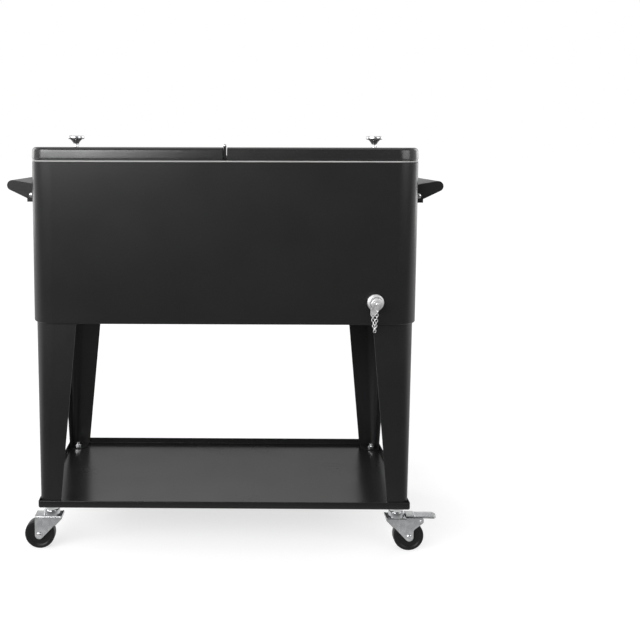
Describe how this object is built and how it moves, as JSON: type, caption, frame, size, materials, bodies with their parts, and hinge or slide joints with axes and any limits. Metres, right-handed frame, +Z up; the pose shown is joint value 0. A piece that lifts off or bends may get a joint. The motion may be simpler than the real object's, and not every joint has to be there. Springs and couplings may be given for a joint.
{
  "type": "rolling patio cooler",
  "caption": "Insulated patio cooler cart with two lids on a centre hinge, side handles, a drain plug on a chain, a lower shelf and swivel casters with foot brakes.",
  "frame": {"origin": "floor under the centre of the outline", "axes": "+X to the drain and brake side, +Y from the front to the back, +Z up"},
  "size_m": [0.8826, 0.4038, 0.8389],
  "materials": {
    "black_coat": "satin black powder coat",
    "light_liner": "light grey moulded",
    "foam": null,
    "hinge_steel": "plain steel",
    "screw_steel": "bright plated",
    "zinc": "bright zinc plate",
    "chrome": "polished",
    "wheel_plastic": "black moulded"
  },
  "bodies": {
    "cart": {"outer_shell": "black_coat", "body_insulation": "foam", "inner_liner": "light_liner", "centre_rail": "hinge_steel", "hinge_pin": "hinge_steel", "shelf_tray": "black_coat", "drain_body": "chrome", "drain_nut": "light_liner", "drain_strap": "chrome", "drain_chain": "chrome", "handle_left": "black_coat", "handle_bracket_left": "black_coat", "handle_bolt_left_front": "screw_steel", "handle_bolt_left_rear": "screw_steel", "handle_right": "black_coat", "handle_bracket_right": "black_coat", "handle_bolt_right_front": "screw_steel", "handle_bolt_right_rear": "screw_steel", "leg_front_left": "black_coat", "caster_plate_front_left": "zinc", "caster_nut_front_left": "zinc", "leg_front_right": "black_coat", "caster_plate_front_right": "zinc", "caster_nut_front_right": "zinc", "leg_rear_left": "black_coat", "caster_plate_rear_left": "zinc", "caster_nut_rear_left": "zinc", "leg_rear_right": "black_coat", "caster_plate_rear_right": "zinc", "caster_nut_rear_right": "zinc"},
    "lid_body_left": {"lid_left": "black_coat", "lid_panel_left": "light_liner", "lid_foam_left": "foam", "knob_left": "chrome", "knob_screw_left": "screw_steel", "hinge_leaf_left": "hinge_steel"},
    "lid_body_right": {"lid_right": "black_coat", "lid_panel_right": "light_liner", "lid_foam_right": "foam", "knob_right": "chrome", "knob_screw_right": "screw_steel", "hinge_leaf_right": "hinge_steel"},
    "swivel_front_left": {"caster_fork_front_left": "zinc", "caster_axle_front_left": "screw_steel"},
    "wheel_front_left": {"caster_wheel_front_left": "wheel_plastic"},
    "swivel_front_right": {"caster_fork_front_right": "zinc", "caster_axle_front_right": "screw_steel"},
    "wheel_front_right": {"caster_wheel_front_right": "wheel_plastic"},
    "pedal_front_right": {"brake_pedal_front_right": "zinc"},
    "swivel_rear_left": {"caster_fork_rear_left": "zinc", "caster_axle_rear_left": "screw_steel"},
    "wheel_rear_left": {"caster_wheel_rear_left": "wheel_plastic"},
    "swivel_rear_right": {"caster_fork_rear_right": "zinc", "caster_axle_rear_right": "screw_steel"},
    "wheel_rear_right": {"caster_wheel_rear_right": "wheel_plastic"},
    "pedal_rear_right": {"brake_pedal_rear_right": "zinc"},
    "drain_keeper": {"drain_tab": "chrome", "drain_rivet": "chrome"},
    "drain_plug": {"drain_cap": "chrome"}
  },
  "joints": [
    {"name": "lid_hinge_left", "type": "hinge", "parent": "cart", "child": "lid_body_left", "pos_m": [0, 0.0114, 0.8176], "axis": [0, 1, 0], "range_deg": [0, 84]},
    {"name": "lid_hinge_right", "type": "hinge", "parent": "cart", "child": "lid_body_right", "pos_m": [0, 0.0114, 0.8176], "axis": [0, -1, 0], "range_deg": [0, 84]},
    {"name": "caster_swivel_front_left", "type": "hinge", "parent": "cart", "child": "swivel_front_left", "pos_m": [-0.35, -0.1406, 0.086], "axis": [0, 0, 1], "continuous": true},
    {"name": "wheel_spin_front_left", "type": "hinge", "parent": "swivel_front_left", "child": "wheel_front_left", "pos_m": [-0.3745, -0.1406, 0.0305], "axis": [0, 1, 0], "continuous": true},
    {"name": "caster_swivel_front_right", "type": "hinge", "parent": "cart", "child": "swivel_front_right", "pos_m": [0.35, -0.1406, 0.086], "axis": [0, 0, 1], "continuous": true},
    {"name": "wheel_spin_front_right", "type": "hinge", "parent": "swivel_front_right", "child": "wheel_front_right", "pos_m": [0.3745, -0.1406, 0.0305], "axis": [0, 1, 0], "continuous": true},
    {"name": "brake_front_right", "type": "hinge", "parent": "swivel_front_right", "child": "pedal_front_right", "pos_m": [0.398, -0.1406, 0.0638], "axis": [0, 1, 0], "range_deg": [0, 12]},
    {"name": "caster_swivel_rear_left", "type": "hinge", "parent": "cart", "child": "swivel_rear_left", "pos_m": [-0.35, 0.1634, 0.086], "axis": [0, 0, 1], "continuous": true},
    {"name": "wheel_spin_rear_left", "type": "hinge", "parent": "swivel_rear_left", "child": "wheel_rear_left", "pos_m": [-0.3745, 0.1634, 0.0305], "axis": [0, 1, 0], "continuous": true},
    {"name": "caster_swivel_rear_right", "type": "hinge", "parent": "cart", "child": "swivel_rear_right", "pos_m": [0.35, 0.1634, 0.086], "axis": [0, 0, 1], "continuous": true},
    {"name": "wheel_spin_rear_right", "type": "hinge", "parent": "swivel_rear_right", "child": "wheel_rear_right", "pos_m": [0.3745, 0.1634, 0.0305], "axis": [0, 1, 0], "continuous": true},
    {"name": "brake_rear_right", "type": "hinge", "parent": "swivel_rear_right", "child": "pedal_rear_right", "pos_m": [0.398, 0.1634, 0.0638], "axis": [0, 1, 0], "range_deg": [0, 12]},
    {"name": "drain_plug_out", "type": "slide", "parent": "cart", "child": "drain_keeper", "axis": [0, -1, 0], "range_m": [0, 0.006], "deforming": ["drain_chain"]},
    {"name": "drain_cap_turn", "type": "hinge", "parent": "drain_keeper", "child": "drain_plug", "pos_m": [0.2935, -0.1791, 0.5147], "axis": [0, -1, 0], "range_deg": [0, 1440]}
  ],
  "couplings": [
    {"joint": "drain_plug_out", "follows": "drain_cap_turn", "m_per_rad": 0.00023873}
  ]
}
